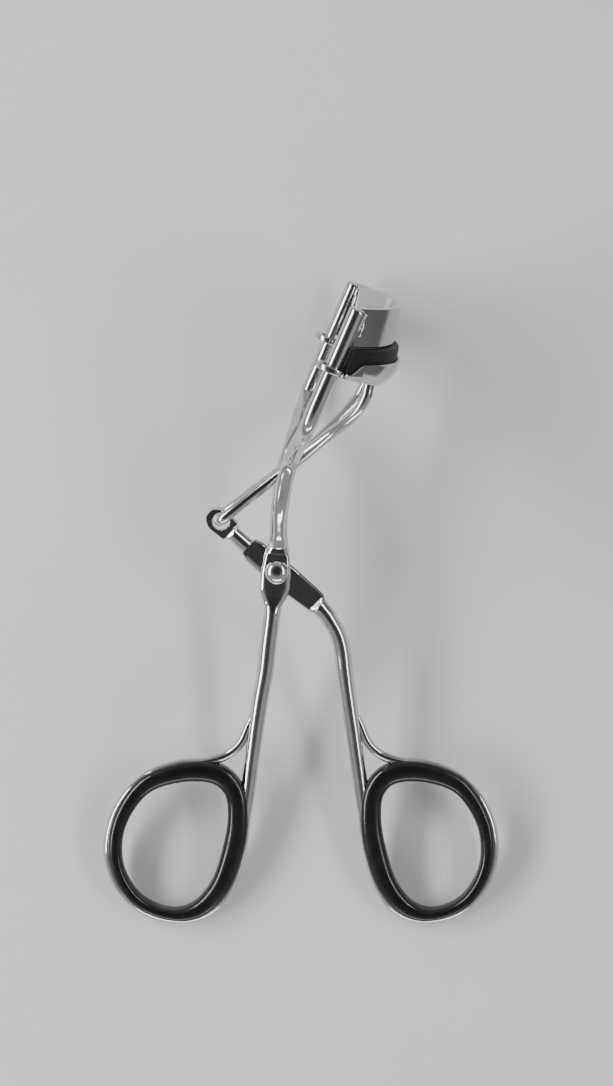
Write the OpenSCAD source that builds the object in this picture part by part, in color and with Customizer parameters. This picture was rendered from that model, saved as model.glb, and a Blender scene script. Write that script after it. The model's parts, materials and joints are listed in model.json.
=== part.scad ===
// Eyelash curler lying on a table: +X to its right side, +Y towards the jaws, +Z up.
// It is drawn flat first, with the pivot at the origin: x across, y towards the jaws and
// z along the pivot rivet. place() then tilts it so that both finger loops and the far
// side of the jaw frame touch the table.

/* [Handles] */
// Radius of the round handle rod beside the pivot
rod_r = 1.35; // [1.2:0.05:1.4]
// Radius of the rod where it reaches the finger loop
leg_r = 1.2; // [1.0:0.05:1.3]
// Radius of the thin rod end that closes the loop
wire_end_r = 0.7; // [0.6:0.05:0.9]
// Width of the left finger loop, between rod centres
left_loop_w = 22.5; // [21:0.1:24]
// Width of the right finger loop, between rod centres
right_loop_w = 21.4; // [20:0.1:22.5]
// Half thickness of the finger grips
grip_half_t = 1.8; // [1.5:0.1:2.2]

/* [Pivot] */
// Radius of the rivet's shaft
rivet_r = 1.2; // [1.0:0.05:1.3]
// Radius of the rivet's domed head
rivet_head_r = 1.9; // [1.7:0.05:2.1]
// Gap between the two lapped flats, half each side
lap_gap = 0.1; // [0.06:0.02:0.14]
// Running clearance of the moving handle on the rivet, radial
rivet_clear = 0.05; // [0.03:0.01:0.08]
// Direction of the moving handle's flat, below the x axis
flat_angle = 40; // [38:1:42]

/* [Jaw frame] */
// Radius of the two rails
rail_r = 1.3; // [1.1:0.05:1.4]
// Distance of each rail's axis from the middle plane
rail_side = 16.6; // [16:0.1:17.5]
// Lean of the straight rails towards the jaws' bulge
rail_angle = 23.1; // [22:0.1:24]
// Height of the rails' top ends above the pivot
rail_top = 44; // [43.5:0.1:45]

/* [Jaws] */
// How far the curved jaws bulge from the rails
jaw_bulge = 6.6; // [6.3:0.1:7.1]
// Downward slope of the jaws' bulge
jaw_angle = 11; // [10:0.5:12]
// Height of the upper jaw's blade
blade_h = 6.1; // [5.8:0.1:6.3]
// Thickness of the blade
blade_t = 0.9; // [0.7:0.1:1.2]
// Gap between the blade and the pad with the jaws together
jaw_gap = 0.15; // [0.1:0.05:0.3]
// Height of the soft pad
pad_h = 3.9; // [3.7:0.1:4.1]
// Width of the soft pad across its top
pad_w = 2.8; // [2.4:0.1:3]
// Sheet thickness of the lower jaw's channel
sheet = 0.5; // [0.4:0.05:0.6]

/* [Link fork] */
// Radius of the fork's wire
fork_r = 0.9; // [0.8:0.05:0.95]
// Radius of the eye in the moving handle's end
eye_r = 1.4; // [1.38:0.01:1.45]

/* [Hidden] */

// Resting pose: tilt about x, then the shift that puts the middle of the box's foot at 0
tilt = 11;
shift = [-3.84, 5.16, 12.57];

chrome = [0.78, 0.79, 0.8];
black = [0.04, 0.04, 0.045];

tube_sides = 16;
fine = 48;
ring_sides = 96;
steps = 4;

// ---- smooth curves through a few points ----

// Catmull-Rom point between b and c
function blend_point(a, b, c, d, t) =
    0.5 * (2 * b + (c - a) * t + (2 * a - 5 * b + 4 * c - d) * t * t
    + (3 * b - a - 3 * c + d) * t * t * t);

// Smooth open curve through the points p
function open_curve(p) = let (n = len(p)) concat(
    [for (i = [0 : n - 2], k = [0 : steps - 1])
        blend_point(p[max(i - 1, 0)], p[i], p[i + 1], p[min(i + 2, n - 1)], k / steps)],
    [p[n - 1]]);

// Smooth closed curve through the points p
function closed_curve(p) = let (n = len(p))
    [for (i = [0 : n - 1], k = [0 : steps - 1])
        blend_point(p[(i + n - 1) % n], p[i], p[(i + 1) % n], p[(i + 2) % n], k / steps)];

function unit(v) = v / norm(v);
function tangent(c, i, closed) = let (n = len(c))
    closed ? unit(c[(i + 1) % n] - c[(i + n - 1) % n])
    : unit(c[min(i + 1, n - 1)] - c[max(i - 1, 0)]);
function across(t, up) = unit(up - (up * t) * t);

// Ring of an oval section around point p: half sizes a along side, b along up
function ring(p, t, up, a, b) = let (u = across(t, up), s = cross(t, u))
    [for (k = [0 : tube_sides - 1]) let (q = 360 * k / tube_sides)
        p + a * cos(q) * s + b * sin(q) * u];

// Oval tube along the points c, with half sizes a[i] and b[i]; up fixes its roll
module tube(c, a, b, up, closed = false) {
    n = len(c);
    s = tube_sides;
    last = closed ? n - 1 : n - 2;
    points = [for (i = [0 : n - 1]) each ring(c[i], tangent(c, i, closed), up, a[i], b[i])];
    sides = [for (i = [0 : last], k = [0 : s - 1]) let (j = (i + 1) % n, m = (k + 1) % s) each
        [[i * s + k, i * s + m, j * s + m], [i * s + k, j * s + m, j * s + k]]];
    ends = closed ? [] : [
        [for (k = [0 : s - 1]) s - 1 - k],
        [for (k = [0 : s - 1]) (n - 1) * s + k]];
    polyhedron(points = points, faces = concat(sides, ends), convexity = 6);
}

function place3(c) = [for (p = c) [p[0], p[1], p[2]]];
function place2(c) = [for (p = c) [p[0], p[1], 0]];
function part(c, i) = [for (p = c) p[i]];

// Resting pose on the table
module place() {
    translate(shift)
        rotate([tilt, 0, 0])
            children();
}

// ---- handles ----

// Leg centre lines with rod radius, from the pivot down to the finger loop
left_leg = [
    [-0.7, -5.6, rod_r], [-1.0, -8.5, rod_r], [-1.4, -12, rod_r], [-1.9, -16.5, rod_r],
    [-2.7, -21, rod_r - 0.03], [-3.45, -26, leg_r + 0.05], [-4.1, -31, leg_r]];
right_leg = [
    [6.0, -5.05, rod_r - 0.1], [7.3, -6.5, rod_r], [8.5, -8.1, rod_r], [9.8, -10.6, rod_r],
    [10.4, -13, rod_r], [10.8, -16.5, rod_r], [11.4, -21, rod_r - 0.03],
    [12.15, -26, leg_r + 0.05], [12.85, -31, leg_r]];

// Finger loop, outward from the leg's foot and down, with rod radius; it comes back
// over the top and lands on the leg
loop_foot = -36;
loop_shape = [
    [0, 0, 1.15], [0.48, -4.5, 1.08], [1.1, -9.5, 1.03], [2.3, -14.5, 0.98], [4.7, -18.9, 0.95],
    [8.6, -21.1, 0.92], [13.3, -21.2, 0.9], [17.6, -19.4, 0.88], [21, -15.7, 0.86],
    [22.5, -10.8, 0.84], [21.9, -5.5, 0.82], [19.6, -0.9, 0.8], [15.8, 2.6, 0.78],
    [11.3, 4.3, 0.76], [6.9, 4.75, 0.74], [3.7, 5.7, 0.74], [1.9, 7, 0.74],
    [0.85, 8.4, 0.74], [0.1, 10.2, 0.7], [-0.75, 12.2, wire_end_r]];

// Finger grip: centre line, outward and down as the loop, with half width
grip_shape = [
    [1.7, -4.5, 1.6], [2.6, -10, 1.6], [4.7, -15.7, 1.45], [8.3, -19.7, 1.25],
    [12.9, -20.5, 0.98], [18.1, -18, 1.02], [21.2, -12.3, 1.12], [20.8, -5.4, 1.25],
    [16.9, 0.7, 1.45], [10.9, 3.1, 1.65], [5.2, 2.9, 1.75], [2.2, 0.1, 1.7]];

loop_ref_w = 22.5;
left_foot_x = -4.72;
right_foot_x = 13.5;

function set_loop(shape, foot_x, w, side) =
    [for (p = shape) [foot_x + side * p[0] * w / loop_ref_w, loop_foot + p[1], p[2]]];

module rod(points) {
    c = open_curve(points);
    tube(place2(c), part(c, 2), part(c, 2), [0, 0, 1]);
}

module grip(foot_x, w, side) {
    c = closed_curve(set_loop(grip_shape, foot_x, w, side));
    flat = [for (p = c) grip_half_t];
    color(black) place() tube(place2(c), part(c, 2), flat, [0, 0, 1], closed = true);
}

// Left handle: rod, loop, the forged front flat at the pivot and the neck above it
fixed_flat = [
    [-1.35, 4.4], [-2.0, 2.2], [-2.4, -0.6], [-2.65, -3], [-2.45, -4.8], [-1.75, -6.4],
    [-0.8, -7.6], [0.35, -6.4], [1.3, -4.9], [1.9, -3], [2.1, -0.2], [1.95, 2.2], [1.45, 4.4]];
neck_w = 2.2;
neck_x = 0.2;
neck_step = 0.1;
neck_foot = 4.2;
neck_top = 8;

module fixed_handle() {
    color(chrome) place() difference() {
        union() {
            rod(concat(left_leg, set_loop(loop_shape, left_foot_x, left_loop_w, -1)));
            translate([0, 0, lap_gap / 2])
                linear_extrude(rod_r - lap_gap / 2)
                    polygon(closed_curve(fixed_flat));
            translate([neck_x - neck_w / 2, neck_foot, -rod_r + neck_step])
                cube([neck_w, neck_top - neck_foot, 2 * rod_r - neck_step]);
        }
        through_hole(rivet_r);
    }
}

// Round bore through a handle, along the pivot's direction
module through_hole(r) {
    translate([0, 0, -2 * rod_r])
        cylinder(r = r, h = 4 * rod_r, $fn = fine);
}

// Right handle: in its own line the flat runs along x through the pivot
moving_flat = [
    [-6.1, -1.1], [-4.6, -1.9], [-2, -2.15], [2, -2.15], [6, -1.85], [8.6, -1.6],
    [8.9, 0], [8.6, 1.6], [6, 1.85], [2, 2.1], [-2, 2.1], [-4.2, 1.9], [-5.6, 1.1]];
shoulder_in = 5.6;
shoulder_out = 9.4;
end_half_t = 0.85;
end_flat_w = 4.1;
end_flat_y = 0.3;
eye = [-12.0, 0.6];
end_tip = 14.4;
end_overlap = 0.3;

module moving_handle() {
    color(chrome) place() difference() {
        union() {
            rod(concat(right_leg, set_loop(loop_shape, right_foot_x, right_loop_w, 1)));
            rotate([0, 0, -flat_angle]) {
                translate([0, 0, -rod_r])
                    linear_extrude(rod_r - lap_gap / 2)
                        polygon(closed_curve(moving_flat));
                translate([-shoulder_out, end_flat_y / 2, 0])
                    rotate([0, 90, 0])
                        cylinder(r = rod_r, h = shoulder_out - shoulder_in, $fn = fine);
                translate([0, end_flat_y, -end_half_t])
                    linear_extrude(2 * end_half_t)
                        end_outline();
            }
        }
        through_hole(rivet_r + rivet_clear);
        rotate([0, 0, -flat_angle])
            translate([eye[0], eye[1], 0])
                through_hole(eye_r);
    }
}

// Rounded flat end of the moving handle
module end_outline() {
    translate([-end_tip + end_flat_w / 2, 0])
        circle(d = end_flat_w, $fn = fine);
    translate([-end_tip + end_flat_w / 2, -end_flat_w / 2])
        square([end_tip - end_flat_w / 2 - shoulder_out + end_overlap, end_flat_w]);
}

module left_grip() {
    grip(left_foot_x, left_loop_w, -1);
}

module right_grip() {
    grip(right_foot_x, right_loop_w, 1);
}

// Rivet with a domed head in front and a low one behind
head_h = 1.1;
tail_h = 0.7;
tail_r = rivet_head_r - 0.1;
module pivot_rivet() {
    color(chrome) place() {
        translate([0, 0, -rod_r - lap_gap])
            cylinder(r = rivet_r, h = 2 * rod_r + lap_gap, $fn = fine);
        translate([0, 0, rod_r])
            dome(rivet_head_r, head_h);
        translate([0, 0, -rod_r - lap_gap / 2])
            mirror([0, 0, 1])
                dome(tail_r, tail_h);
    }
}

// Cap of a sphere with foot radius r and height h, foot on z = 0
module dome(r, h) {
    ball = (r * r + h * h) / (2 * h);
    intersection() {
        translate([0, 0, h - ball])
            sphere(r = ball, $fn = fine);
        cylinder(r = r, h = h + 1, $fn = fine);
    }
}

// ---- jaw frame ----

rail_dir = [sin(rail_angle), cos(rail_angle), 0];
rail_head = [12.6, rail_top, 0];
function on_rail(y) = rail_head + rail_dir * (y - rail_top) / rail_dir[1];

straight_from = 27.6;
rail_points = [
    [0.3, 4.3, 1.3], [0.33, 6, 1.7], [0.38, 8, 2.7], [0.5, 10, 3.7], [0.75, 12, 4.4],
    [1.3, 15.5, 5.1], [2.1, 18.5, 6.1], [2.9, 20.7, 8.6], [3.75, 23, 12.6],
    [4.7, 25.2, 15.6], on_rail(straight_from) + [0, 0, rail_side],
    on_rail(33) + [0, 0, rail_side], on_rail(rail_top) + [0, 0, rail_side]];

module near_rail() {
    c = open_curve(rail_points);
    thick = [for (p = c) rail_r];
    color(chrome) place() tube(place3(c), thick, thick, [1, 0, 0]);
}

// Mirror of the near rail, a little to the left at its foot
foot_shift = 0.25;
foot_reach = 20;
module far_rail() {
    color(chrome) place() {
        c = open_curve([for (p = rail_points)
            [p[0] - foot_shift * max(0, 1 - p[1] / foot_reach), p[1], -p[2]]]);
        thick = [for (p = c) rail_r];
        tube(place3(c), thick, thick, [1, 0, 0]);
    }
}

// ---- jaws ----

// Radius of the jaws' arc, whose ends lie on the two rails
jaw_r = (rail_side * rail_side + jaw_bulge * jaw_bulge) / (2 * jaw_bulge);

// Jaw frame: x is the bulge, z is the blade's height, origin on the rails' top ends
module at_jaw() {
    translate(rail_head)
        rotate([0, 0, -jaw_angle])
            rotate([-90, 0, 0])
                children();
}

// Curved band between radii r_in and r_out, out to half angle a, from z = low to high
module band(r_in, r_out, a, low, high) {
    translate([-(jaw_r - jaw_bulge), 0, low])
        linear_extrude(high - low)
            intersection() {
                difference() {
                    circle(r = r_out, $fn = ring_sides);
                    circle(r = r_in, $fn = ring_sides);
                }
                sector(a);
            }
}

// Sector out to half angle a, that cuts the jaws' rings to length
module sector(a) {
    reach = 2 * jaw_r;
    polygon([[0, 0], [reach * cos(a), reach * sin(a)], [reach, reach],
        [reach, -reach], [reach * cos(a), -reach * sin(a)]]);
}

blade_angle = 43.3;
module upper_jaw() {
    color(chrome) place() at_jaw()
        band(jaw_r - blade_t / 2, jaw_r + blade_t / 2, blade_angle, -blade_h, 0);
}

// Room beside each rail, cut parallel to it, so that the lower jaw clears the rails
relief_angle = 15.3;
relief_size = 12;
module rail_relief(gap) {
    for (side = [-1, 1])
        translate(on_rail(guide_y) + [0, 0, side * rail_side])
            rotate([0, 0, -rail_angle])
                rotate([0, side * relief_angle, 0])
                    translate([rail_r + gap - relief_size, -relief_size, -relief_size])
                        cube([relief_size, 2 * relief_size, 2 * relief_size]);
}

pad_top = -blade_h - jaw_gap;
pad_foot = pad_top - pad_h;
lower_angle = 47;
pad_step = 0.5;
pad_relief = 0.15;
module pad() {
    half = pad_w / 2;
    color(black) place() difference() {
        at_jaw() {
            band(jaw_r - half, jaw_r + half, lower_angle, pad_foot, pad_top - pad_step);
            band(jaw_r - half + pad_step, jaw_r + half - pad_step, lower_angle, pad_foot,
                pad_top);
        }
        rail_relief(pad_relief);
    }
}

// Channel under the pad. Its walls slope down at their ends, and a skirt below the front
// wall leans in and ends flush with the guides
pad_clear = 0.05;
wall_in = pad_w / 2 + pad_clear;
wall_out = wall_in + sheet;
wall_rise = 1.7;
wall_relief = 0.1;
slope_from = 16.3;
slope_angle = 33;
skirt_h = 3;
skirt_lean = 1.9;
module lower_jaw() {
    floor_top = pad_foot - pad_clear;
    floor_low = floor_top - sheet;
    rim = pad_foot + wall_rise;
    color(chrome) place() difference() {
        at_jaw() {
            band(jaw_r - wall_out, jaw_r + wall_out, lower_angle, floor_low, floor_top);
            band(jaw_r - wall_out, jaw_r - wall_in, lower_angle, floor_low, rim);
            band(jaw_r + wall_in, jaw_r + wall_out, lower_angle, floor_low, rim);
            skirt(floor_top);
        }
        // sloping ends of the walls
        at_jaw()
            for (side = [-1, 1])
                translate([0, side * slope_from, rim])
                    rotate([-side * slope_angle, 0, 0])
                        translate([-jaw_r, -jaw_r / 4, 0])
                            cube([2 * jaw_r, jaw_r / 2, jaw_r / 2]);
        rail_relief(wall_relief);
        // square to the rails, in line with the guides
        translate(on_rail(guide_y))
            rotate([0, 0, -rail_angle])
                translate([-jaw_r, -jaw_r, -jaw_r])
                    cube([2 * jaw_r, jaw_r, 2 * jaw_r]);
    }
}

// Leaning skirt, from the height top down
module skirt(top) {
    translate([-(jaw_r - jaw_bulge), 0, top - skirt_h])
        intersection() {
            difference() {
                cylinder(r1 = jaw_r + wall_out - skirt_lean, r2 = jaw_r + wall_out,
                    h = skirt_h, $fn = ring_sides);
                cylinder(r1 = jaw_r + wall_in - skirt_lean, r2 = jaw_r + wall_in,
                    h = skirt_h, $fn = ring_sides);
            }
            linear_extrude(skirt_h)
                sector(lower_angle);
        }
}

// ---- guides on the rails ----

guide_y = 34.2;
guide_t = 1;
guide_wall = 0.8;
guide_play = 0.3;
slot_back = 0.3;
module guide_plate(side) {
    inner = rail_r + guide_play;
    outer = inner + guide_wall;
    place() translate(on_rail(guide_y) + [0, 0, side * rail_side])
        rotate([0, 0, -rail_angle])
            rotate([-90, 0, 0])
                linear_extrude(guide_t)
                    difference() {
                        stadium(outer, slot_back);
                        stadium(inner, slot_back);
                    }
}

// Circle of radius r stretched towards -x by back
module stadium(r, back) {
    circle(r = r, $fn = fine);
    translate([-back, 0])
        circle(r = r, $fn = fine);
    translate([-back, -r])
        square([back, 2 * r]);
}

module near_guide() {
    color(chrome) guide_plate(1);
}

module far_guide() {
    color(chrome) guide_plate(-1);
}

// ---- link fork ----

// Hinge pin of the fork, in the moving handle's eye with the jaws together
pin_slack = 0.33;
pin = rotated([eye[0], eye[1]], -flat_angle) - pin_slack * [cos(rail_angle), -sin(rail_angle)];
function rotated(p, a) = [p[0] * cos(a) - p[1] * sin(a), p[0] * sin(a) + p[1] * cos(a)];

arm_dir = unit([9.2, 7.3]);
function off_pin(d, z) = [pin[0] + d * arm_dir[0], pin[1] + d * arm_dir[1], z];

fork_arm = [
    off_pin(0, 0), off_pin(0.02, 0.85), off_pin(0.35, 1.62), off_pin(1.1, 1.92), off_pin(3, 1.85),
    off_pin(6.5, 1.4), [0.2, 15.6, 1.15], [4.6, 19.1, 1.2], [8.3, 22.4, 2.6], [11.2, 25, 4.8],
    [12.9, 26.9, 5.9], [13.9, 28.8, 6.2], [14.25, 30.2, 6.2], [14.5, 31.4, 6.2],
    [14.8, 32.5, 6.2]];

module link_fork() {
    far_arm = [for (i = [len(fork_arm) - 1 : -1 : 1])
        [fork_arm[i][0], fork_arm[i][1], -fork_arm[i][2]]];
    c = open_curve(concat(far_arm, fork_arm));
    thick = [for (p = c) fork_r];
    roll = [-arm_dir[1], arm_dir[0], 0];
    color(chrome) place() tube(place3(c), thick, thick, roll);
}

fixed_handle();
moving_handle();
left_grip();
right_grip();
pivot_rivet();
near_rail();
far_rail();
upper_jaw();
lower_jaw();
pad();
near_guide();
far_guide();
link_fork();
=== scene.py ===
"""Eyelash curler: high-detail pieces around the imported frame, with studio light and camera.

Everything is drawn in the tool's own frame, in millimetres: x across, y towards the jaws and
z along the pivot rivet, with the pivot at the origin. to_row() lays it down on the table.
"""

import json
import math

import bmesh
import bpy
import numpy as np
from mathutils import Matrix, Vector


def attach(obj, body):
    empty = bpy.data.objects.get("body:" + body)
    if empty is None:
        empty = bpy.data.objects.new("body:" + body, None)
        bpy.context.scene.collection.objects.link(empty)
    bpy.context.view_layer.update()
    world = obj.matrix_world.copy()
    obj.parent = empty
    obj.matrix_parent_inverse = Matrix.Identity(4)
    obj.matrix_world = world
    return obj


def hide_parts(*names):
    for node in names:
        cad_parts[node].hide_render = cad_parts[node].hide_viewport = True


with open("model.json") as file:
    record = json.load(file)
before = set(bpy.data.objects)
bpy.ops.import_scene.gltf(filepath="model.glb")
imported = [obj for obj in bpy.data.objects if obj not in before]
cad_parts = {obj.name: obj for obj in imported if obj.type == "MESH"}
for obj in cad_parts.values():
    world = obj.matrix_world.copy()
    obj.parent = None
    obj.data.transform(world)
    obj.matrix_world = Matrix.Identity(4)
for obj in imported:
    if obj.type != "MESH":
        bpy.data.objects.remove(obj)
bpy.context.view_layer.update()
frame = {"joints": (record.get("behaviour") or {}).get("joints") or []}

MM = 0.001
JOINTS = {j["name"]: j for j in frame["joints"]}
PIVOT = Vector(JOINTS["handle_pivot"]["pos_m"])
TOOL_Z = Vector(JOINTS["handle_pivot"]["axis"]).normalized()
TOOL_X = Vector((1, 0, 0))
TOOL_Y = TOOL_Z.cross(TOOL_X)
TOOL = np.array([TOOL_X, TOOL_Y, TOOL_Z])
UP = np.array((0.0, 0.0, 1.0))
SMOOTH_ANGLE = 35


def to_row(points):
    """Tool-frame millimetres to row-frame metres."""
    return np.asarray(points, float) @ TOOL * MM + np.array(PIVOT)


def polar(angle):
    """Unit vector in the handles' plane, angle in degrees from x."""
    a = math.radians(angle)
    return np.array((math.cos(a), math.sin(a), 0.0))


# ---------------------------------------------------------------- curves and meshes


def smooth_curve(points, steps, closed=False):
    """Catmull-Rom curve of any dimension through the points."""
    p = np.array(points, float)
    n = len(p)
    out = []
    for i in range(n if closed else n - 1):
        if closed:
            a, b, c, d = (p[(i + k) % n] for k in (-1, 0, 1, 2))
        else:
            a, b, c, d = p[max(i - 1, 0)], p[i], p[i + 1], p[min(i + 2, n - 1)]
        for t in np.arange(steps) / steps:
            out.append(0.5 * (2 * b + (c - a) * t + (2 * a - 5 * b + 4 * c - d) * t**2
                              + (3 * b - a - 3 * c + d) * t**3))
    if not closed:
        out.append(p[-1])
    return np.array(out)


def even_curve(points, spacing, closed=False):
    """Smooth curve resampled to even steps of about the given length in x, y, z."""
    c = smooth_curve(points, 24, closed)
    if closed:
        c = np.vstack([c, c[:1]])
    s = np.concatenate([[0], np.cumsum(np.linalg.norm(np.diff(c[:, :3], axis=0), axis=1))])
    count = max(4, int(round(s[-1] / spacing)))
    at = np.linspace(0, s[-1], count + 1)
    even = np.array([np.interp(at, s, c[:, k]) for k in range(c.shape[1])]).T
    return even[:-1] if closed else even


def add_mesh(name, vertices, faces, smooth_angle=SMOOTH_ANGLE):
    """Mesh from tool-frame points, its faces turned outward, smooth below the angle."""
    mesh = bpy.data.meshes.new(name)
    mesh.from_pydata([tuple(v) for v in to_row(vertices)], [], faces)
    mesh.validate()
    shell = bmesh.new()
    shell.from_mesh(mesh)
    if shell.calc_volume(signed=True) < 0:
        bmesh.ops.reverse_faces(shell, faces=shell.faces)
    shell.to_mesh(mesh)
    shell.free()
    mesh.update()
    for polygon in mesh.polygons:
        polygon.use_smooth = True
    mesh.set_sharp_from_angle(angle=math.radians(smooth_angle))
    piece = bpy.data.objects.new(name, mesh)
    bpy.context.scene.collection.objects.link(piece)
    return piece


def loft(name, rings, closed=False, smooth_angle=SMOOTH_ANGLE):
    """Closed skin over rings of equal point count; open lofts get flat end faces."""
    rings = np.array(rings)
    n, k = rings.shape[:2]
    faces = []
    for i in range(n if closed else n - 1):
        j = (i + 1) % n
        for m in range(k):
            q = (m + 1) % k
            faces.append((i * k + m, i * k + q, j * k + q, j * k + m))
    if not closed:
        faces.append(tuple(range(k - 1, -1, -1)))
        faces.append(tuple((n - 1) * k + m for m in range(k)))
    return add_mesh(name, rings.reshape(-1, 3), faces, smooth_angle)


def frames_along(c, up, closed=False):
    """Side and up vectors at each point of a centre line; up fixes the roll."""
    if closed:
        t = np.roll(c, -1, axis=0) - np.roll(c, 1, axis=0)
    else:
        t = np.gradient(c, axis=0)
    t /= np.linalg.norm(t, axis=1)[:, None]
    u = up - (t @ up)[:, None] * t
    u /= np.linalg.norm(u, axis=1)[:, None]
    return np.cross(t, u), u


def place_sections(c, sections, up, closed=False):
    """Rings from 2D sections, x to the side and y up, set along a centre line."""
    side, high = frames_along(c, up, closed)
    return [c[i] + s[:, :1] * side[i] + s[:, 1:] * high[i] for i, s in enumerate(sections)]


def circle_section(r, sides=32):
    q = np.arange(sides) * 2 * np.pi / sides
    return np.stack([r * np.cos(q), r * np.sin(q)], axis=1)


def round_tip(c, radii, tip, at_end=True):
    """Extra stations that close a rod with a soft, slightly flattened tip of length tip."""
    stations, reach, blunt, fullness = 7, 0.97, 0.12, 0.8
    q = np.linspace(0, np.pi / 2, stations)[1:] * reach
    end, before = (c[-1], c[-2]) if at_end else (c[0], c[1])
    r = radii[-1] if at_end else radii[0]
    out = (end - before) / np.linalg.norm(end - before)
    extra = np.array([end + out * tip * math.sin(a) for a in q])
    small = np.array([r * max(blunt, math.cos(a) ** fullness) for a in q])
    if at_end:
        return np.vstack([c, extra]), np.concatenate([radii, small])
    return np.vstack([extra[::-1], c]), np.concatenate([small[::-1], radii])


def rod(name, points, radius, up, tips=(0.4, 0.4), spacing=0.35):
    """Round rod along x, y, z points, radius one number or one per point."""
    radius = np.full(len(points), radius) if np.isscalar(radius) else np.array(radius)
    c = even_curve(np.column_stack([points, radius]), spacing)
    centre, radii = c[:, :3], c[:, 3]
    centre, radii = round_tip(centre, radii, tips[1])
    centre, radii = round_tip(centre, radii, tips[0], at_end=False)
    return loft(name, place_sections(centre, [circle_section(r) for r in radii], up))


def rounded_box(w, h, r, steps=5):
    """Rounded rectangle section of width w, height h and corner radius r."""
    out = []
    for cx, cy, start in ((1, 1, 0), (-1, 1, 90), (-1, -1, 180), (1, -1, 270)):
        for a in np.radians(np.linspace(start, start + 90, steps)):
            out.append((cx * (w / 2 - r) + r * math.cos(a), cy * (h / 2 - r) + r * math.sin(a)))
    return np.array(out)


def lathe(name, profile, centre=(0, 0, 0), sides=64):
    """Solid of revolution about z from (radius, height) points, first and last on the axis."""
    q = np.arange(sides) * 2 * np.pi / sides
    rings = [[(r * math.cos(a), r * math.sin(a), z) for a in q] for r, z in profile[1:-1]]
    vertices = np.array(rings).reshape(-1, 3)
    vertices = np.vstack([vertices, [(0, 0, profile[0][1]), (0, 0, profile[-1][1])]])
    n = len(rings)
    first, last = len(vertices) - 2, len(vertices) - 1
    faces = []
    for m in range(sides):
        k = (m + 1) % sides
        faces.append((first, k, m))
        for i in range(n - 1):
            faces.append((i * sides + m, i * sides + k, (i + 1) * sides + k, (i + 1) * sides + m))
        faces.append((last, (n - 1) * sides + m, (n - 1) * sides + k))
    return add_mesh(name, vertices + np.array(centre), faces)


def cut(piece, *tools):
    """Subtracts closed tool meshes from the piece and deletes them."""
    for tool in tools:
        m = piece.modifiers.new("cut", "BOOLEAN")
        m.operation = "DIFFERENCE"
        m.solver = "EXACT"
        m.object = tool
    bake(piece)
    for tool in tools:
        bpy.data.objects.remove(tool)


def bake(piece):
    """Applies every modifier to the mesh."""
    graph = bpy.context.evaluated_depsgraph_get()
    mesh = bpy.data.meshes.new_from_object(piece.evaluated_get(graph))
    piece.modifiers.clear()
    piece.data = mesh
    for polygon in mesh.polygons:
        polygon.use_smooth = True
    mesh.set_sharp_from_angle(angle=math.radians(SMOOTH_ANGLE))


def finish_piece(piece, body, node, material):
    """Material and body of a piece that takes the place of a CAD node, which it hides."""
    piece.data.materials.clear()
    piece.data.materials.append(material)
    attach(piece, body)
    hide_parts(node)


# ---------------------------------------------------------------- handles

ROD_R = 1.35
# half of the gap between the two flats
LAP = 0.05
# how far from its end a handle's head may reach, and the rod's run at full radius after it
HEAD_REACH = 35
FULL_RUN = 9
ROD_STEP = 0.3


def forged_section(wide, middle, high, top, low, base, arc_points=8, flat_points=4):
    """Section of half width wide at height middle; crowned or flat above and below it.

    top and base are the half widths of the flats at heights high and low."""
    def side(edge, height):
        t1 = math.acos(min(0.999, edge / wide))
        rise = (height - middle) / math.sin(t1)
        return [(wide * math.cos(t), middle + rise * math.sin(t))
                for t in np.linspace(0, t1, arc_points)]
    right = side(base, low)[:0:-1] + side(top, high)
    left = [(-x, y) for x, y in right[::-1]]
    lid = [(x, high) for x in np.linspace(top, -top, flat_points + 2)[1:-1]]
    sole = [(x, low) for x in np.linspace(-base, base, flat_points + 2)[1:-1]]
    return np.array(right + lid + left + sole)


def round_row(r):
    """Row for forged_section that gives a round rod of radius r."""
    height, edge = r * 0.999, r * 0.045
    return (r, 0, height, edge, -height, edge)


def forged(name, centre, head, table, head_end, loop):
    """Handle in one piece: forged head from a table by position, then the rod and its loop.

    head is each station's position along the head; from head_end on the rod is round."""
    s = np.concatenate([[0], np.cumsum(np.linalg.norm(np.diff(centre, axis=0), axis=1))])
    first = int(np.argmin(np.where(s > HEAD_REACH, np.inf, np.abs(head - head_end))))
    radius = wire_radius(centre, s, first, loop)
    table = np.array(sorted(table))
    rows = [[np.interp(head[i], table[:, 0], table[:, k]) for k in range(1, 7)]
            if i < first else round_row(radius[i]) for i in range(len(centre))]
    sections = [forged_section(*r) for r in rows]
    return loft(name, place_sections(flat(centre), sections, UP), smooth_angle=28)


LOOP_FOOT = -36
LOOP_REF_W = 22.5
# outward, down and wire radius, close to the CAD loop
LOOP_SHAPE = (
    (0, 0, 1.15), (0.6, -4.5, 1.08), (1.27, -9.5, 1.03), (2.5, -14.4, 0.98),
    (4.85, -18.75, 0.95), (8.6, -21.07, 0.92), (13.3, -21.17, 0.9), (17.6, -19.4, 0.88),
    (21, -15.7, 0.86), (22.49, -10.8, 0.84), (21.9, -5.5, 0.82), (19.6, -0.9, 0.8),
    (15.8, 2.6, 0.78), (11.3, 4.3, 0.76), (6.9, 4.75, 0.74), (3.7, 5.7, 0.74),
    (1.9, 7.0, 0.74), (0.85, 8.4, 0.74), (0.1, 10.2, 0.7), (-0.75, 12.2, 0.55))
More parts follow.
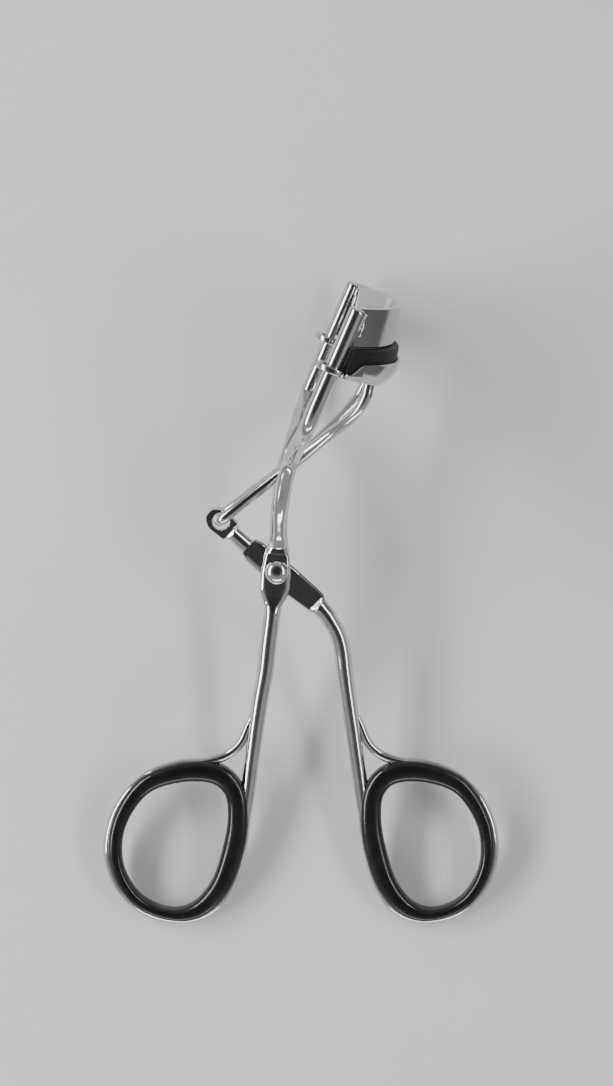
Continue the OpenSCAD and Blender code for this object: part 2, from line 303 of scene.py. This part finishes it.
# outward, down and half width of the grip's centre line
GRIP_SHAPE = (
    (1.6, -4.5, 1.7), (2.4, -10, 1.8), (4.5, -15.85, 1.68), (8.2, -19.8, 1.4),
    (12.9, -20.5, 0.98), (18.1, -18, 1.02), (21.2, -12.3, 1.12), (20.8, -5.4, 1.25),
    (16.9, 0.7, 1.45), (10.9, 3.1, 1.65), (5.2, 2.9, 1.75), (2.2, 0.1, 1.7))
LEFT = {"foot": -4.72, "width": 22.5, "side": -1}
RIGHT = {"foot": 13.5, "width": 21.4, "side": 1}


def loop_points(shape, loop):
    scale = loop["side"] * loop["width"] / LOOP_REF_W
    return [(loop["foot"] + scale * x, LOOP_FOOT + y, r) for x, y, r in shape]


# position, half width, widest height, top height, its flat, foot height, its flat
FIXED_HEAD = (
    (-8.0, 1.35, 0, 1.349, 0.06, -1.349, 0.06), (-6.6, 1.36, 0, 1.33, 0.10, -1.345, 0.06),
    (-5.9, 1.42, 0, 1.25, 0.26, -1.34, 0.06), (-5.5, 1.48, 0.1, 1.17, 0.42, -1.33, 0.2),
    (-5.4, 1.50, 0.4, 1.15, 0.46, LAP, 1.1), (-4.9, 1.68, 0.45, 1.07, 0.76, LAP, 1.3),
    (-4.2, 2.02, 0.5, 1.0, 1.18, LAP, 1.6), (-3.0, 2.34, 0.5, 0.98, 1.70, LAP, 1.9),
    (-0.6, 2.38, 0.5, 0.98, 1.86, LAP, 2.0), (2.2, 2.08, 0.5, 0.98, 1.60, LAP, 1.7),
    (2.85, 1.93, 0.5, 0.98, 1.50, LAP, 1.5), (3.0, 1.90, 0.5, 1.32, 1.24, LAP, 1.4),
    (4.2, 1.63, 0.2, 1.33, 0.80, LAP, 1.3), (4.4, 1.60, 0.0, 1.33, 0.75, -1.2, 0.9),
    (8.0, 1.15, 0.0, 1.30, 0.30, -1.2, 0.6))


def fixed_handle():
    """Left rod with the flat that lies in front at the pivot."""
    leg = [(0.3, 8.0), (0.2, 4.6), (0.0, 2.2), (-0.22, -0.5), (-0.38, -3), (-0.62, -5.4),
           (-0.9, -8.0), (-1.4, -12), (-1.9, -16.5), (-2.7, -21), (-3.45, -26), (-4.1, -31)]
    c = flat(even_curve(leg + [q[:2] for q in loop_points(LOOP_SHAPE, LEFT)], ROD_STEP))
    c = add_stations(c, polar(90), [row[0] for row in FIXED_HEAD[1:-1]])
    piece = forged("fixed_handle_steel", c, c[:, 1], FIXED_HEAD, -8.0, LEFT)
    finish_piece(piece, "frame", "fixed_handle", chrome_handles)


def flat(c):
    """Points x, y laid in the handles' plane."""
    return np.column_stack([c[:, 0], c[:, 1], np.zeros(len(c))])


def wire_radius(c, s, first, loop):
    """Rod radius by distance: round at the pivot, thinner down the leg and round the loop."""
    foot = int(np.argmin(np.hypot(c[:, 0] - loop["foot"], c[:, 1] - LOOP_FOOT)))
    shape = np.array(LOOP_SHAPE)
    scale = loop["width"] / LOOP_REF_W
    run = np.hypot(np.diff(shape[:, 0]) * scale, np.diff(shape[:, 1]))
    keys = s[foot] + np.concatenate([[0], np.cumsum(run)]) * (s[-1] - s[foot]) / run.sum()
    return np.interp(s, [s[first], s[first] + FULL_RUN] + list(keys),
                     [ROD_R, ROD_R] + list(shape[:, 2]))


def add_stations(c, along, wanted):
    """Extra points on the first crossing of each position along a direction."""
    out = list(c)
    for w in wanted:
        x = [float(q @ along) for q in out]
        for i in range(len(out) - 1):
            if (x[i] - w) * (x[i + 1] - w) < 0:
                t = (w - x[i]) / (x[i + 1] - x[i])
                out.insert(i + 1, out[i] + t * (out[i + 1] - out[i]))
                break
    return np.array(out)


FLAT_ANGLE = -40
ALONG = polar(FLAT_ANGLE)
OVER = polar(FLAT_ANGLE + 90)
EYE = -12.0 * ALONG + 0.6 * OVER
EYE_R = 1.4
EYE_FACE = 0.82
# as FIXED_HEAD, by position along the flat's own line
MOVING_HEAD = (
    (-14.4, 0.35, 0, 0.62, 0.1, -0.62, 0.1), (-14.3, 0.85, 0, 0.74, 0.6, -0.74, 0.6),
    (-14.0, 1.30, 0, 0.80, 1.05, -0.80, 1.05), (-13.5, 1.69, 0, 0.82, 1.44, -0.82, 1.44),
    (-13.0, 1.92, 0, 0.82, 1.67, -0.82, 1.67), (-12.35, 2.04, 0, 0.82, 1.8, -0.82, 1.8),
    (-9.9, 1.90, 0, 0.82, 1.64, -0.82, 1.64), (-9.2, 1.27, 0, 1.27, 0.1, -1.27, 0.1),
    (-6.2, 1.27, 0, 1.27, 0.1, -1.27, 0.1), (-5.9, 1.62, -0.55, -LAP, 1.28, -1.33, 1.25),
    (-4.8, 2.0, -0.55, -LAP, 1.62, -1.33, 1.6), (-2, 2.14, -0.55, -LAP, 1.78, -1.33, 1.7),
    (2, 2.14, -0.55, -LAP, 1.78, -1.33, 1.7), (6, 1.97, -0.55, -LAP, 1.63, -1.33, 1.55),
    (8.1, 1.84, -0.55, -LAP, 1.52, -1.33, 1.45), (8.7, 1.50, 0, 1.34, 0.3, -1.34, 0.3),
    (9.6, 1.35, 0, 1.349, 0.06, -1.349, 0.06))


def moving_handle():
    """Right rod with the flat behind the fixed one and the eye at its short end."""
    line = [(-14.4, 0.3), (-12, 0.32), (-9.4, 0.2), (-5.9, 0.05), (-3, 0), (0, 0), (4, 0), (7, 0)]
    head = [tuple((x * ALONG + y * OVER)[:2]) for x, y in line]
    leg = [(6.45, -5.55), (7.4, -6.55), (8.5, -8.1), (9.75, -10.5), (10.4, -13),
           (10.8, -16.5), (11.4, -21), (12.15, -26), (12.85, -31)]
    c = flat(even_curve(head + leg + [q[:2] for q in loop_points(LOOP_SHAPE, RIGHT)], ROD_STEP))
    c = add_stations(c, ALONG, [row[0] for row in MOVING_HEAD[1:-1]])
    piece = forged("moving_handle_steel", c, c @ ALONG, MOVING_HEAD, 9.6, RIGHT)
    drill(piece, EYE, EYE_R, chamfer=0.12, face=EYE_FACE)
    finish_piece(piece, "moving_handle", "moving_handle", chrome_handles)


def drill(piece, at, radius, chamfer, face):
    """Through hole along z with a small chamfer at the faces z = +-face."""
    reach = 3.0
    mouth = radius + chamfer
    flare = mouth + reach - face
    profile = [(0, -reach), (flare, -reach), (mouth, -face), (radius, -face + chamfer),
               (radius, face - chamfer), (mouth, face), (flare, reach), (0, reach)]
    cut(piece, lathe("drill", profile, at))


GRIP_T = 1.75


def grip(name, loop, body, node):
    """Soft moulded ring inside a finger loop, flat-sided with rounded inner edges."""
    c = even_curve(loop_points(GRIP_SHAPE, loop), 0.35, closed=True)
    sections = [grip_section(w) for w in c[:, 2]]
    if loop["side"] < 0:
        sections = [(s * (-1, 1))[::-1] for s in sections]
    piece = loft(name, place_sections(flat(c), sections, UP, closed=True), closed=True)
    finish_piece(piece, body, node, grip_vinyl)


def grip_section(w, sides=40):
    """Squared oval of half width w and half thickness GRIP_T."""
    q = np.arange(sides) * 2 * np.pi / sides
    x, y = np.cos(q), np.sin(q)
    squareness = 0.72
    return np.stack([w * np.sign(x) * np.abs(x) ** squareness,
                     GRIP_T * np.sign(y) * np.abs(y) ** squareness], axis=1)


def pivot_rivet():
    """Domed head in front, shaft through both flats and a peened tail behind."""
    head_r, head_h, tail_r, tail_h, shaft = 1.9, 1.1, 1.8, 0.7, 1.2
    front, back = 1.0, -ROD_R - LAP
    rim, chamfer, sunk = 0.25, 0.12, 0.02
    dome_h = head_h + ROD_R - front - rim
    dome = [(head_r * math.sin(a), front + rim + dome_h * math.cos(a))
            for a in np.linspace(0, np.pi / 2, 14)]
    tail = [(tail_r * math.sin(a), back - tail_h * math.cos(a))
            for a in np.linspace(np.pi / 2, 0, 9)]
    profile = dome + [(head_r, front + 0.05), (head_r - chamfer, front - sunk),
                      (shaft, front - sunk), (shaft, back), (tail_r - 0.1, back)] + tail
    piece = lathe("pivot_rivet_steel", profile[::-1])
    finish_piece(piece, "frame", "pivot_rivet", chrome_rivet)


# ---------------------------------------------------------------- jaw frame

RAIL_ANGLE = 23.1
RAIL_SIDE = 16.6
RAIL_R = 1.3
RAIL_DIR = polar(90 - RAIL_ANGLE)
ACROSS = polar(-RAIL_ANGLE)
RAIL_HEAD = np.array((12.6, 44.0, 0.0))


def on_rail(y, z=0.0):
    return RAIL_HEAD + RAIL_DIR * (y - RAIL_HEAD[1]) / RAIL_DIR[1] + np.array((0, 0, z))


# the rails are straight between these two positions
STRAIGHT_FROM = 27.6
RAIL_TOP = 43.6
RAIL_POINTS = [
    (0.3, 4.3, 1.3), (0.33, 6, 1.7), (0.38, 8, 2.7), (0.5, 10, 3.7), (0.75, 12, 4.4),
    (1.3, 15.5, 5.1), (2.1, 18.5, 6.1), (2.9, 20.7, 8.6), (3.75, 23, 12.6), (4.7, 25.2, 15.6),
    *(tuple(on_rail(y, RAIL_SIDE)) for y in (STRAIGHT_FROM, 33, RAIL_TOP))]
# the far rail's foot lies a little to the left
FOOT_SHIFT = 0.25
FOOT_REACH = 20


def rail(name, near):
    points = RAIL_POINTS
    if not near:
        points = [(x - FOOT_SHIFT * max(0, 1 - y / FOOT_REACH), y, -z) for x, y, z in points]
    piece = rod(name, points, RAIL_R, np.array((1.0, 0.0, 0.0)), tips=(0.25, 0.4))
    node = "near_rail" if near else "far_rail"
    finish_piece(piece, "frame", node, chrome_frame)


# ---------------------------------------------------------------- jaws

JAW_BULGE = 6.6
JAW_R = (RAIL_SIDE**2 + JAW_BULGE**2) / (2 * JAW_BULGE)
JAW_ANGLE = 11
BULGE = polar(-JAW_ANGLE)
RISE = polar(90 - JAW_ANGLE)
BLADE_H = 6.1
BLADE_T = 0.9
BLADE_ANGLE = 43.1
JAW_GAP = 0.15
PAD_H = 3.9
PAD_W = 2.8
SHEET = 0.5
PAD_TOP = -BLADE_H - JAW_GAP
PAD_FOOT = PAD_TOP - PAD_H


def jaw_point(angle, radius, height):
    """Point of the jaws' arc: angle from its middle in degrees, radius, height on the blade."""
    a = math.radians(angle)
    x = radius * math.cos(a) - (JAW_R - JAW_BULGE)
    return RAIL_HEAD + BULGE * x + RISE * height + UP * radius * math.sin(a)


def jaw_loft(name, half_angle, section_at, count=90):
    """Skin along the jaws' arc; section_at(angle) gives (radial offset, height) points."""
    rings = [[jaw_point(q, JAW_R + x, h) for x, h in section_at(q)]
             for q in np.linspace(-half_angle, half_angle, count)]
    return loft(name, rings, smooth_angle=40)


def upper_jaw():
    """Curved blade with rounded edges."""
    section = rounded_box(BLADE_T, BLADE_H, 0.25) + np.array((0, -BLADE_H / 2))
    piece = jaw_loft("upper_jaw_blade", BLADE_ANGLE, lambda q: section)
    finish_piece(piece, "frame", "upper_jaw", chrome_sheet)


def braze(name, near, outer):
    """Uneven bead of braze metal where the blade meets its rail."""
    out, side = (1 if outer else -1), (1 if near else -1)
    top, length, angle, bead_r, sunk = -0.9, 3.2, 40.3, 0.36, 0.05
    points, radii = [], []
    for t in np.linspace(0, 1, 16):
        q = side * (angle + 0.8 * t + 0.25 * math.sin(9 * t))
        points.append(jaw_point(q, JAW_R + out * (BLADE_T / 2 - sunk), top - length * t))
        radii.append(bead_r + 0.05 * math.sin(11 * t + out) + 0.035 * math.sin(23 * t + 2))
    weld(name, points, radii, "frame")


def weld(name, points, radii, body):
    """Soft-edged bead of braze metal."""
    piece = rod(name, points, radii, UP, tips=(0.3, 0.3), spacing=0.1)
    piece.data.materials.append(chrome_sheet)
    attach(piece, body)


LOWER_ANGLE = 46.9
RELIEF_ANGLE = 15.3
GUIDE_Y = 34.2


def rail_room(side, gap):
    """Block beside a rail, parallel to it, that the lower jaw keeps clear of."""
    turn = math.radians(RELIEF_ANGLE)
    out = side * UP
    face = ACROSS * math.cos(turn) - out * math.sin(turn)
    run = ACROSS * math.sin(turn) + out * math.cos(turn)
    middle = on_rail(GUIDE_Y, side * RAIL_SIDE) + face * (RAIL_R + gap)
    size = 12
    corners = [middle - face * size * i + run * size * j + RAIL_DIR * size * k
               for i in (0, 1) for j in (-1, 1) for k in (-1, 1)]
    faces = [(0, 1, 3, 2), (4, 6, 7, 5), (0, 4, 5, 1), (2, 3, 7, 6), (0, 2, 6, 4), (1, 5, 7, 3)]
    if side < 0:
        faces = [f[::-1] for f in faces]
    return add_mesh("rail_room", corners, faces)


def soften(piece, width, angle=50):
    """Small rounded bevel of the given width on the edges sharper than the angle."""
    m = piece.modifiers.new("soften", "BEVEL")
    m.width = width * MM
    m.segments = 3
    m.limit_method = "ANGLE"
    m.angle_limit = math.radians(angle)
    bake(piece)


def pad_section(angle):
    """Crowned pad, the same at every angle."""
    half, crown = PAD_W / 2, 0.7
    middle = (PAD_FOOT + PAD_TOP) / 2 - 0.3
    out = [(half, PAD_FOOT), (half, middle)]
    for t in np.linspace(0, np.pi, 17):
        out.append((half * math.copysign(abs(math.cos(t)) ** 0.5, math.cos(t)),
                    PAD_TOP - crown + crown * math.sin(t) ** 0.75))
    return out + [(-half, middle), (-half, PAD_FOOT)]


def pad():
    piece = jaw_loft("lash_pad", LOWER_ANGLE, pad_section, count=120)
    cut(piece, rail_room(1, 0.2), rail_room(-1, 0.2))
    soften(piece, 0.22)
    finish_piece(piece, "lower_jaw", "pad", pad_rubber)


WALL_IN = PAD_W / 2 + 0.05
FLOOR = PAD_FOOT - 0.05
# the walls' rise over the pad's foot, which eases down to END_RISE past EASE_FROM degrees
WALL_RISE = 1.7
END_RISE = 0.15
EASE_FROM = 38.8
EASE_RUN = 7
SKIRT_H = 3.0
SKIRT_LEAN = 1.9


def guide_plane(angle, radius):
    """Height on the jaw arc of the plane of the guides, square to the rails."""
    foot = jaw_point(angle, radius, 0)
    return float((on_rail(GUIDE_Y) - foot) @ RAIL_DIR / (RISE @ RAIL_DIR))


def channel_section(q):
    """U channel with a leaning skirt below the front wall."""
    e, heel, least = 0.13, 0.12, 0.1
    a, b = WALL_IN, WALL_IN + SHEET
    drop = min(1.0, max(0.0, (abs(q) - EASE_FROM) / EASE_RUN))
    rim = PAD_FOOT + END_RISE + (WALL_RISE - END_RISE) * (1 + math.cos(math.pi * drop)) / 2
    under = FLOOR - SHEET
    skirt = max(guide_plane(q, JAW_R + b - SKIRT_LEAN * 0.7), FLOOR - SKIRT_H)
    skirt = min(skirt, under - least)
    lean = SKIRT_LEAN * (FLOOR - skirt) / SKIRT_H
    neck = SKIRT_LEAN * SHEET / SKIRT_H
    back = min(max(under, guide_plane(q, JAW_R - b)), FLOOR - 0.15)
    return [(b, FLOOR), (b, rim - e), (b - e, rim), (a + e, rim), (a, rim - e), (a, FLOOR),
            (-a, FLOOR), (-a, rim - e), (-a - e, rim), (-b + e, rim), (-b, rim - e),
            (-b, back + heel), (-b + heel, back), (a - neck - 0.05, under),
            (a - lean, skirt + 0.05), (a - lean + least, skirt), (b - lean - least, skirt),
            (b - lean, skirt + least)]


def lower_jaw():
    piece = jaw_loft("lower_jaw_channel", LOWER_ANGLE, channel_section, count=160)
    cut(piece, rail_room(1, 0.12), rail_room(-1, 0.12))
    finish_piece(piece, "lower_jaw", "lower_jaw", chrome_sheet)


GUIDE_T = 1.0
GUIDE_WALL = 0.8
GUIDE_IN = RAIL_R + 0.3
SLOT_BACK = 0.3


def guide(name, side, node):
    """Eyelet that runs loosely on a rail: a closed loop of flattened strip."""
    middle = GUIDE_IN + GUIDE_WALL / 2
    right = [(middle * math.cos(a), middle * math.sin(a))
             for a in np.linspace(-np.pi / 2, np.pi / 2, 25)]
    left = [(-SLOT_BACK + middle * math.cos(a), middle * math.sin(a))
            for a in np.linspace(np.pi / 2, 3 * np.pi / 2, 25)]
    start = on_rail(GUIDE_Y, side * RAIL_SIDE) + RAIL_DIR * GUIDE_T / 2
    c = np.array([start + ACROSS * x + UP * y for x, y in right + left])
    section = rounded_box(GUIDE_WALL, GUIDE_T, 0.22)
    piece = loft(name, place_sections(c, [section] * len(c), RAIL_DIR, closed=True), closed=True)
    finish_piece(piece, "lower_jaw", node, chrome_sheet)


def guide_braze(name, side):
    """Bead that joins an eyelet to the end of the channel."""
    lift, off, out, slope = 0.35, 0.3, 0.4, 0.8
    start = on_rail(GUIDE_Y + lift, side * (RAIL_SIDE + off)) + ACROSS * (GUIDE_IN + out)
    points = [start + ACROSS * t - UP * side * slope * t for t in (-0.2, 0.3, 0.8, 1.3)]
    weld(name, points, [0.5, 0.6, 0.56, 0.4], "lower_jaw")


FORK_R = 0.9
PIN_SLACK = 0.33
PIN = EYE - PIN_SLACK * ACROSS
ARM_RUN = np.array((9.2, 7.3, 0))
ARM_DIR = ARM_RUN / np.linalg.norm(ARM_RUN)


def link_fork():
    """Bent wire: hinge pin through the eye, two arms up to the lower jaw."""
    bend = [(0, 0), (0.02, 0.85), (0.35, 1.62), (1.1, 1.92), (3, 1.85), (6.5, 1.4)]
    arm = [tuple(PIN + d * ARM_DIR + UP * z) for d, z in bend]
    arm += [(0.2, 15.6, 1.15), (4.6, 19.1, 1.2), (8.3, 22.4, 2.6), (11.2, 25, 4.8),
            (12.9, 26.9, 5.9), (13.9, 28.8, 6.2), (14.25, 30.2, 6.2), (14.5, 31.4, 6.2),
            (14.75, 32.3, 6.2)]
    points = [(x, y, -z) for x, y, z in arm[:0:-1]] + arm
    roll = np.array((-ARM_DIR[1], ARM_DIR[0], 0))
    piece = rod("link_fork_wire", points, FORK_R, roll, tips=(0.15, 0.15), spacing=0.25)
    finish_piece(piece, "lower_jaw", "link_fork", chrome_frame)


# ---------------------------------------------------------------- materials


class Shader:
    """Principled material with object coordinates in millimetres."""

    def __init__(self, name):
        self.material = bpy.data.materials.new(name)
        self.material.use_nodes = True
        self.nodes = self.material.node_tree.nodes
        self.links = self.material.node_tree.links
        self.principled = self.nodes["Principled BSDF"]
        self.coords = self.nodes.new("ShaderNodeTexCoord").outputs["Object"]
        self.height = None

    def set(self, **values):
        for key, value in values.items():
            self.principled.inputs[key.replace("_", " ")].default_value = value

    def link(self, out, into):
        self.links.new(out, self.principled.inputs[into] if isinstance(into, str) else into)

    def scaled(self, scale):
        """Object coordinates times scale per millimetre, one number or three."""
        m = self.nodes.new("ShaderNodeMapping")
        scale = (scale,) * 3 if np.isscalar(scale) else scale
        m.inputs["Scale"].default_value = [s / MM for s in scale]
        self.links.new(self.coords, m.inputs["Vector"])
        return m.outputs["Vector"]

    def noise(self, scale, detail=3, rough=0.55, distortion=0.0):
        n = self.nodes.new("ShaderNodeTexNoise")
        n.inputs["Scale"].default_value = 1
        n.inputs["Detail"].default_value = detail
        n.inputs["Roughness"].default_value = rough
        n.inputs["Distortion"].default_value = distortion
        self.links.new(self.scaled(scale), n.inputs["Vector"])
        return n.outputs["Fac"]

    def cells(self, scale):
        v = self.nodes.new("ShaderNodeTexVoronoi")
        v.inputs["Scale"].default_value = 1
        self.links.new(self.scaled(scale), v.inputs["Vector"])
        return v.outputs["Distance"]

    def spread(self, value, low, high, to_low, to_high):
        """Value from low..high mapped to to_low..to_high."""
        m = self.nodes.new("ShaderNodeMapRange")
        for key, number in zip(("From Min", "From Max", "To Min", "To Max"),
                               (low, high, to_low, to_high)):
            m.inputs[key].default_value = number
        self.links.new(value, m.inputs["Value"])
        return m.outputs["Result"]

    def math(self, operation, a, b):
        """Math node on two sockets or numbers; products are clamped to 0..1."""
        m = self.nodes.new("ShaderNodeMath")
        m.operation = operation
        m.use_clamp = operation == "MULTIPLY"
        for socket, value in zip(m.inputs, (a, b)):
            if isinstance(value, (int, float)):
                socket.default_value = value
            else:
                self.links.new(value, socket)
        return m.outputs[0]

    def distance_from_axis(self):
        """Distance from the z axis in millimetres."""
        m = self.nodes.new("ShaderNodeVectorMath")
        m.operation = "LENGTH"
        self.links.new(self.scaled((1, 1, 0)), m.inputs[0])
        return m.outputs["Value"]

    def mix(self, fac, a, b):
        """Colour between a and b, each a socket or three numbers."""
        m = self.nodes.new("ShaderNodeMix")
        m.data_type = "RGBA"
        self.links.new(fac, m.inputs[0])
        for socket, value in zip((m.inputs[6], m.inputs[7]), (a, b)):
            if isinstance(value, tuple):
                socket.default_value = (*value, 1)
            else:
                self.links.new(value, socket)
        return m.outputs[2]

    def bump(self, value, depth):
        """Relief of the given depth in millimetres, added to what is there."""
        b = self.nodes.new("ShaderNodeBump")
        b.inputs["Distance"].default_value = depth * MM
        b.inputs["Strength"].default_value = 1
        self.links.new(value, b.inputs["Height"])
        if self.height:
            self.links.new(self.height, b.inputs["Normal"])
        self.height = b.outputs["Normal"]
        self.link(self.height, "Normal")


def plated_steel(name, light, dark, rough, ripple, scratches=0.5):
    """Chrome plate: slight polish ripple, hairline scratches and faint smears."""
    s = Shader(name)
    s.set(Metallic=1.0)
    smear = s.noise(0.22, 4, 0.6, 0.6)
    grime = s.noise(0.9, 5, 0.62)
    s.link(s.mix(s.spread(smear, 0.35, 0.7, 0, 1), light, dark), "Base Color")
    base = s.spread(s.math("ADD", smear, s.math("MULTIPLY", grime, 0.5)), 0.45, 1.05, *rough)
    hair = [s.noise((0.5, 9, 9), 2), s.noise((9, 0.7, 9), 2), s.noise((6, 5, 1.2), 2)]
    lines = [s.spread(h, 0.66, 0.74, 0, 1) for h in hair]
    worn = s.math("MAXIMUM", s.math("MAXIMUM", lines[0], lines[1]), lines[2])
    s.link(s.math("ADD", base, s.math("MULTIPLY", worn, 0.12 * scratches)), "Roughness")
    s.bump(s.noise(0.55, 2), ripple)
    s.bump(worn, 0.0012 * scratches)
    return s.material


def black_vinyl():
    """Glossy soft vinyl: dark grey-black, finger-polished patches and fine dust specks."""
    s = Shader("grip_vinyl")
    s.set(Specular_IOR_Level=0.55, IOR=1.5)
    patch = s.noise(0.3, 4, 0.6)
    specks = s.cells(1.6)
    dust = s.math("MULTIPLY", s.spread(specks, 0.1, 0.05, 0, 1),
                  s.spread(s.noise(0.5, 2), 0.5, 0.65, 0, 1))
    body = s.mix(patch, (0.0045, 0.0045, 0.005), (0.010, 0.010, 0.011))
    s.link(s.mix(s.math("MULTIPLY", dust, 0.35), body, (0.10, 0.10, 0.10)), "Base Color")
    s.link(s.math("ADD", s.spread(patch, 0.3, 0.7, 0.14, 0.3), s.math("MULTIPLY", dust, 0.3)),
           "Roughness")
    s.bump(s.noise(0.8, 3), 0.03)
    s.bump(s.noise(9, 2), 0.004)
    return s.material


def black_rubber():
    """Matte rubber: fine grain and a dusty bloom."""
    s = Shader("pad_rubber")
    s.set(Specular_IOR_Level=0.3, IOR=1.5)
    bloom = s.noise(0.6, 4, 0.65)
    grain = s.noise(7, 3, 0.7)
    s.link(s.mix(bloom, (0.006, 0.006, 0.0065), (0.016, 0.016, 0.017)), "Base Color")
    s.link(s.spread(s.math("ADD", bloom, grain), 0.7, 1.3, 0.42, 0.68), "Roughness")
    s.bump(grain, 0.02)
    s.bump(s.noise(1.5, 3), 0.04)
    return s.material


BRIGHT = (0.63, 0.635, 0.65)
DULL = (0.52, 0.525, 0.54)
chrome_handles = plated_steel("chrome_handles", BRIGHT, DULL, (0.05, 0.13), 0.012)
chrome_frame = plated_steel("chrome_frame", BRIGHT, DULL, (0.06, 0.15), 0.015)
# Sheet chrome of the blade, channel, eyelets and brazes: rougher than the rods, and its colour
# painted darker than theirs as painted shade, standing in for dark reflections on the blade.
chrome_sheet = plated_steel("chrome_sheet", (0.58, 0.585, 0.60), (0.46, 0.465, 0.48),
                            (0.10, 0.24), 0.02, 0.8)
chrome_rivet = plated_steel("chrome_rivet", BRIGHT, DULL, (0.06, 0.14), 0.02)
grip_vinyl = black_vinyl()
pad_rubber = black_rubber()

fixed_handle()
moving_handle()
grip("left_grip_ring", LEFT, "frame", "left_grip")
grip("right_grip_ring", RIGHT, "moving_handle", "right_grip")
pivot_rivet()
rail("near_rail_rod", True)
rail("far_rail_rod", False)
upper_jaw()
for near, outer in ((True, True), (True, False), (False, True), (False, False)):
    braze(("near" if near else "far") + ("_outer" if outer else "_inner") + "_braze", near, outer)
pad()
lower_jaw()
guide("near_guide_eyelet", 1, "near_guide")
guide("far_guide_eyelet", -1, "far_guide")
guide_braze("near_guide_braze", 1)
guide_braze("far_guide_braze", -1)
link_fork()


# ---------------------------------------------------------------- stage, light and camera


def paper_floor():
    """Large pale sheet with a faint tooth; its colour is painted darker, down to grey from 100 to
    260 mm out, as a painted light falloff.
    """
    size, n = 3.0, 2
    step, row = 2 * size / n, n + 1
    vertices = [(-size + i * step, -size + j * step, 0) for j in range(row) for i in range(row)]
    corners = [j * row + i for j in range(n) for i in range(n)]
    faces = [(k, k + 1, k + row + 1, k + row) for k in corners]
    mesh = bpy.data.meshes.new("paper_floor")
    mesh.from_pydata(vertices, [], faces)
    floor = bpy.data.objects.new("paper_floor", mesh)
    bpy.context.scene.collection.objects.link(floor)
    s = Shader("paper")
    away = s.distance_from_axis()
    paper = s.mix(s.noise(0.02, 4), (0.72, 0.71, 0.69), (0.77, 0.76, 0.74))
    # painted light falloff: a painted pool of light, the paper darkening to grey away from the
    # tool
    fade_from, fade_to, painted_falloff_grey = 100, 260, (0.22, 0.22, 0.22)
    s.link(s.mix(s.spread(away, fade_from, fade_to, 0, 1), paper, painted_falloff_grey), "Base Color")
    s.set(Roughness=0.75, Specular_IOR_Level=0.25)
    s.bump(s.noise(1.2, 4), 0.03)
    mesh.materials.append(s.material)


def softbox(name, azimuth, elevation, distance, width, height, watts):
    """Area light aimed at the pivot; azimuth runs from +x towards +y."""
    a, e = math.radians(azimuth), math.radians(elevation)
    away = Vector((math.cos(a) * math.cos(e), math.sin(a) * math.cos(e), math.sin(e)))
    data = bpy.data.lights.new(name, "AREA")
    data.shape = "RECTANGLE"
    data.size, data.size_y = width, height
    data.energy = watts
    lamp = bpy.data.objects.new(name, data)
    lamp.location = PIVOT + away * distance
    lamp.rotation_euler = away.to_track_quat("Z", "Y").to_euler()
    bpy.context.scene.collection.objects.link(lamp)


def flag(name, x, span, height):
    """Dark card beside the jaws, seen only in reflections, that tones down their chrome."""
    foot = 0.5
    ends = [(x * MM, y * MM, z * MM) for y in span for z in (foot, height)]
    mesh = bpy.data.meshes.new(name)
    mesh.from_pydata(ends, [], [(0, 1, 3, 2)])
    card = bpy.data.objects.new(name, mesh)
    bpy.context.scene.collection.objects.link(card)
    s = Shader("dark_card")
    s.link(s.mix(s.noise(0.5), (0.10, 0.10, 0.105), (0.14, 0.14, 0.145)), "Base Color")
    s.set(Roughness=0.9)
    s.bump(s.noise(2), 0.02)
    mesh.materials.append(s.material)
    card.visible_camera = card.visible_diffuse = card.visible_shadow = False


def room_light():
    """World gradient: dim overhead, bright towards the horizon."""
    world = bpy.data.worlds.new("room")
    bpy.context.scene.world = world
    world.use_nodes = True
    nodes, links = world.node_tree.nodes, world.node_tree.links
    background = nodes["Background"]
    split = nodes.new("ShaderNodeSeparateXYZ")
    links.new(nodes.new("ShaderNodeTexCoord").outputs["Generated"], split.inputs[0])
    ramp = nodes.new("ShaderNodeValToRGB")
    stops = ((0.0, 0.34), (0.3, 0.46), (0.72, 0.40), (0.9, 0.07), (1.0, 0.04))
    green, blue = 0.995, 0.98
    while len(ramp.color_ramp.elements) < len(stops):
        ramp.color_ramp.elements.new(0.5)
    for element, (at, level) in zip(ramp.color_ramp.elements, stops):
        element.position = at
        element.color = (level, level * green, level * blue, 1)
    links.new(split.outputs["Z"], ramp.inputs["Fac"])
    links.new(ramp.outputs["Color"], background.inputs["Color"])
    background.inputs["Strength"].default_value = 1.0


def camera():
    """Straight down, as the photograph looks at the tool."""
    data = bpy.data.cameras.new("camera")
    data.sensor_width = 36
    data.lens = 114.85
    offset = Vector((4.68, 4.44, 550)) * MM
    eye = bpy.data.objects.new("camera", data)
    eye.location = PIVOT + offset
    eye.rotation_euler = (0, 0, 0)
    bpy.context.scene.collection.objects.link(eye)
    bpy.context.scene.camera = eye


paper_floor()
room_light()
softbox("left_strip", 172, 34, 0.9, 1.1, 0.22, 11)
softbox("right_strip", 5, 44, 1.0, 0.9, 0.14, 4)
softbox("front_strip", -90, 20, 1.0, 0.9, 0.2, 3)
flag("right_flag", 42, (16, 100), 40)
camera()

bpy.context.view_layer.update()
